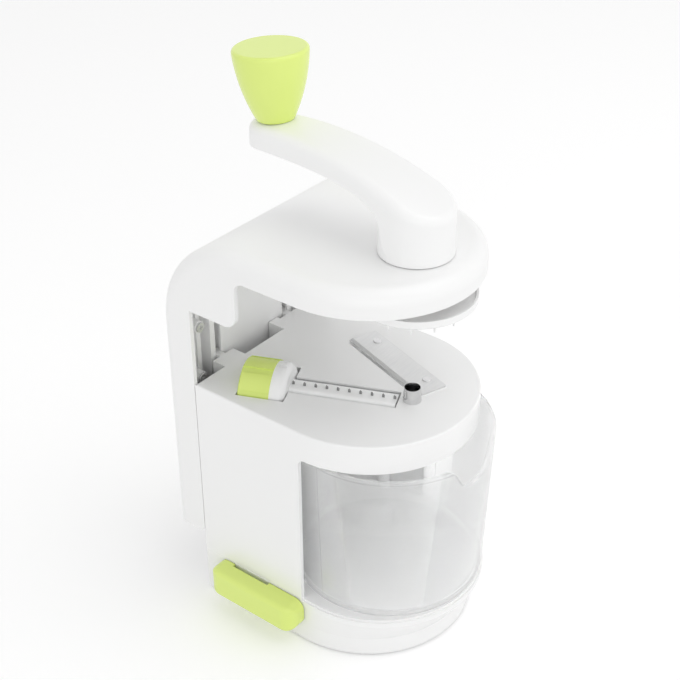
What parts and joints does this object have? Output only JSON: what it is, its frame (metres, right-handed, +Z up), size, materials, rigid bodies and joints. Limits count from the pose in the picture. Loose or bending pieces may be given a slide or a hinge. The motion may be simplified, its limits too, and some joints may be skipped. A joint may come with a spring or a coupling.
{
  "type": "vertical spiralizer with crank",
  "caption": "Hand-cranked vertical vegetable spiralizer with sliding arm, spiked disc, slicing plate, turning cutter selector, clear container and suction base.",
  "frame": {"origin": "on the table in the plane of the suction cup's face, under the centre of the half-round front that deck, base and top plate share", "axes": "+X to the right, +Y to the back where the arm's spine is, +Z up"},
  "size_m": [0.1326, 0.1666, 0.3189],
  "materials": {
    "white_plastic": "satin",
    "inner_plastic": "satin",
    "green_plastic": "gloss",
    "clear_plastic": "gloss",
    "frosted_plastic": "satin",
    "blade_steel": "brushed",
    "screw_steel": "satin",
    "brass_bush": "satin",
    "cup_rubber": "matte"
  },
  "bodies": {
    "housing": {"base_housing": "white_plastic", "suction_cup": "cup_rubber", "main_housing": "white_plastic", "base_screws": "screw_steel", "flat_blade": "blade_steel", "blade_rivets": "blade_steel", "corer_tube": "blade_steel", "detent_spring": "screw_steel"},
    "arm": {"arm_shell": "white_plastic", "guide_panel": "inner_plastic", "panel_screws": "screw_steel", "under_cover": "white_plastic", "cover_screws": "screw_steel", "crank_bush": "brass_bush"},
    "crank": {"crank_arm": "white_plastic", "drive_shaft": "screw_steel", "spiked_disc": "white_plastic", "thrust_washer": "brass_bush", "disc_washer": "screw_steel", "disc_screw": "screw_steel", "knob_spindle": "screw_steel"},
    "knob": {"crank_knob": "green_plastic", "knob_cap": "green_plastic"},
    "selector": {"cutter_barrel": "frosted_plastic", "selector_grip": "green_plastic", "selector_collar": "white_plastic", "medium_comb": "blade_steel", "fine_comb": "blade_steel", "coarse_comb": "blade_steel"},
    "container_body": {"container": "clear_plastic"},
    "lever": {"lock_lever": "green_plastic", "cam_shaft": "screw_steel"},
    "stem": {"suction_stem": "screw_steel"}
  },
  "joints": [
    {"name": "arm_slide", "type": "slide", "parent": "housing", "child": "arm", "axis": [0, 0, 1], "range_m": [-0.038, 0.06]},
    {"name": "crank_turn", "type": "hinge", "parent": "arm", "child": "crank", "pos_m": [0, -0.0283, 0.24], "axis": [0, 0, 1], "continuous": true},
    {"name": "knob_spin", "type": "hinge", "parent": "crank", "child": "knob", "pos_m": [0, 0.061, 0.2785], "axis": [0, 0.0593, 0.9982], "continuous": true},
    {"name": "selector_turn", "type": "hinge", "parent": "housing", "child": "selector", "pos_m": [-0.00175, -0.02905, 0.1375], "axis": [-0.3939, 0.9191, 0], "continuous": true},
    {"name": "container_slide", "type": "slide", "parent": "housing", "child": "container_body", "axis": [0, -1, 0], "range_m": [0, 0.12]},
    {"name": "lever_turn", "type": "hinge", "parent": "housing", "child": "lever", "pos_m": [-0.0606, 0.012, 0.019], "axis": [1, 0, 0], "range_deg": [0, 90]},
    {"name": "stem_lift", "type": "slide", "parent": "housing", "child": "stem", "axis": [0, 0, 1], "range_m": [0, 0.003], "deforming": ["suction_cup"]}
  ],
  "couplings": [
    {"joint": "stem_lift", "follows": "lever_turn", "m_per_rad": 0.0019099}
  ]
}
